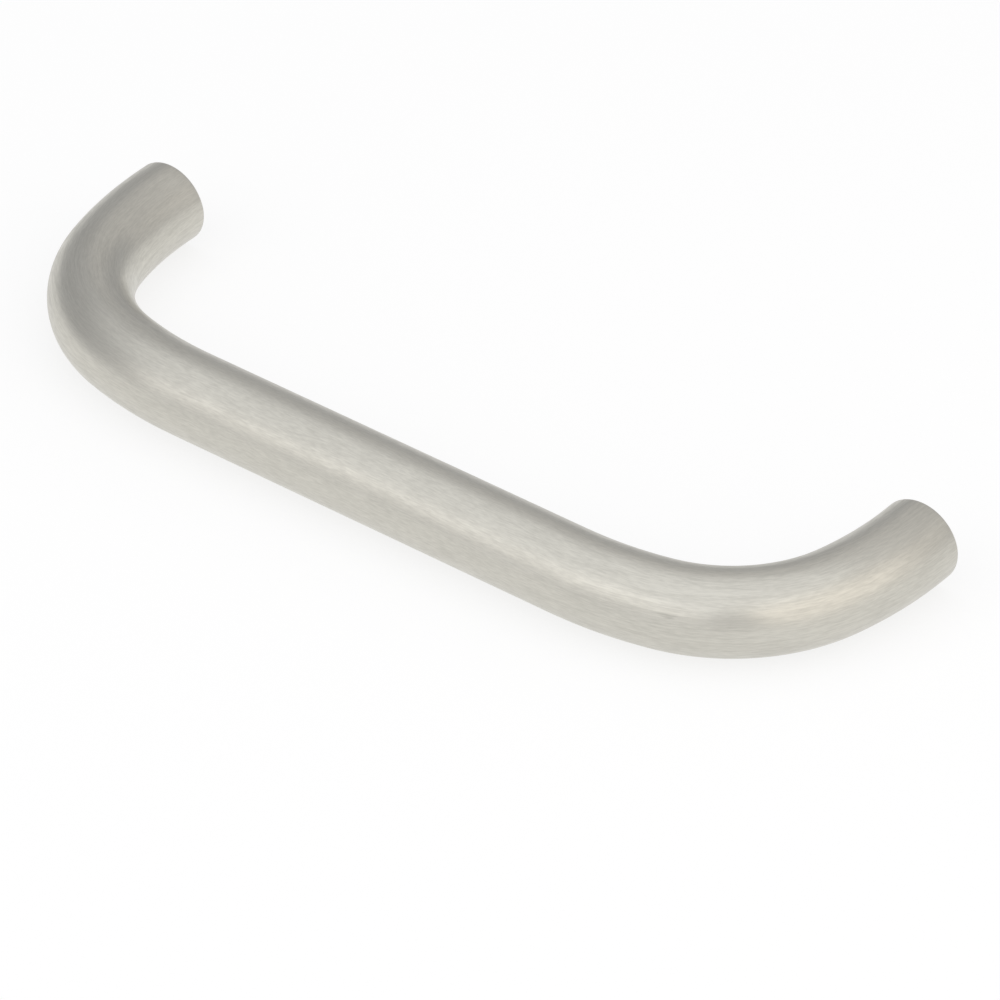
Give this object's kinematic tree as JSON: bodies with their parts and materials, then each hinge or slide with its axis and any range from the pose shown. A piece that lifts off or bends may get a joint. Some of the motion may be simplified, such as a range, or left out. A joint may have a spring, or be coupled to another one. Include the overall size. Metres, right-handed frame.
{
  "type": "bracket handle",
  "caption": "Bow-shaped pull of round satin steel bar, bent at each end towards the panel and tapped there for screws that hold it to a drawer or door from behind.",
  "frame": {"origin": "midway between the two screw holes, on the plane of the end faces, which is the face of the panel", "axes": "+X along the grip, +Y from the grip into the panel, +Z at right angles to the flat bow, up as it lies on a table"},
  "size_m": [0.14, 0.04, 0.012],
  "materials": {
    "satin_steel": "satin ground stainless steel, with fine grain along the bar"
  },
  "bodies": {
    "root": {"bow_handle": "satin_steel"}
  },
  "joints": []
}
